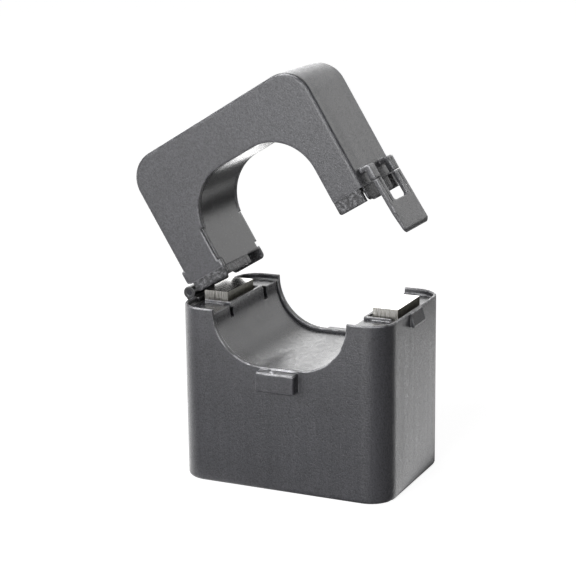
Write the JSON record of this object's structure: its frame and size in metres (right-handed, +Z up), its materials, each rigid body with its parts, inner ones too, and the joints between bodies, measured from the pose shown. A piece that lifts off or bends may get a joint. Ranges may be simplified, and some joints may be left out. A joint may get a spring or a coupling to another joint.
{
  "type": "split-core current transformer",
  "caption": "Split-core current transformer: an upright housing with a winding and a U core, and a hinged jaw that closes a rounded square window round a conductor.",
  "frame": {"origin": "middle of the base housing's flat underside", "axes": "+Z up, X across the front with the hinge at -X and the catch at +X, -Y towards the front; the conductor runs along Y"},
  "size_m": [0.0736, 0.0458, 0.1042],
  "materials": {
    "housing": "charcoal plastic with a fine spark grain",
    "liner": "charcoal plastic, smoother than the housing",
    "core_steel": "wound silicon steel strip with ground ends",
    "bobbin_plastic": "natural moulded plastic",
    "copper": "enamelled copper wire",
    "tinned_pin": "tinned",
    "spring_steel": "rolled spring steel",
    "bush_rubber": "moulded rubber",
    "hinge_black": "black moulded plastic",
    "pin_steel": "drawn steel"
  },
  "bodies": {
    "base": {"base_shell": "housing", "base_liner": "liner", "lower_core": "core_steel", "bobbin": "bobbin_plastic", "winding": "copper", "bobbin_pins": "tinned_pin", "core_springs": "spring_steel", "lead_bush": "bush_rubber", "hinge_block": "hinge_black", "hinge_pin": "pin_steel"},
    "jaw": {"jaw_shell": "housing", "jaw_liner": "liner", "upper_core": "core_steel", "jaw_spring": "spring_steel"},
    "latch": {"latch": "housing"}
  },
  "joints": [
    {"name": "jaw_hinge", "type": "hinge", "parent": "base", "child": "jaw", "pos_m": [-0.0299, 0, 0.0464], "axis": [0, -1, 0], "range_deg": [-31.2, 58.8]},
    {"name": "latch_flex", "type": "hinge", "parent": "jaw", "child": "latch", "pos_m": [0.02046, 0, 0.07906], "axis": [0, -1, 0], "range_deg": [-6, 12], "stiffness_Nm_per_rad": 0.05}
  ]
}
